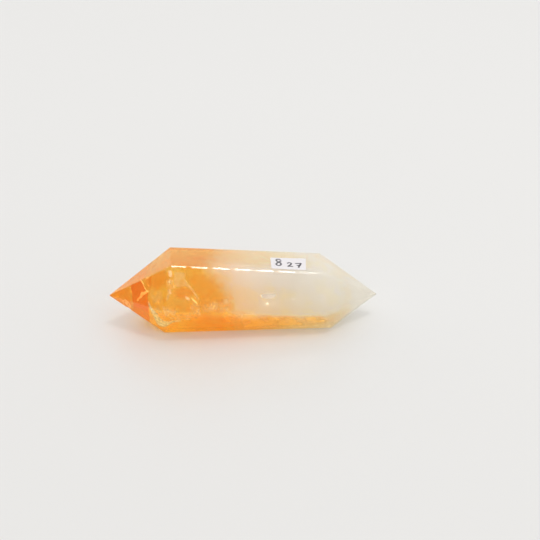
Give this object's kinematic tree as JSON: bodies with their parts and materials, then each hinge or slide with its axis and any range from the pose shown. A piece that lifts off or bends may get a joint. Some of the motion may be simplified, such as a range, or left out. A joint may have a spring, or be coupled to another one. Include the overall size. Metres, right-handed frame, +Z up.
{
  "type": "citrine crystal point",
  "caption": "Polished hexagonal citrine quartz crystal, pointed at both ends, lying on one flat face, with a small paper sticker.",
  "frame": {"origin": "the middle of the base of the box around the crystal, on the surface that it lies on", "axes": "+X along the crystal towards its thinner, paler end, +Y towards its back, +Z up out of the face with the sticker"},
  "size_m": [0.135, 0.0409, 0.0361],
  "materials": {
    "citrine_quartz": "polished",
    "label_paper": "matte"
  },
  "bodies": {
    "root": {"crystal": "citrine_quartz", "price_label": "label_paper"}
  },
  "joints": []
}
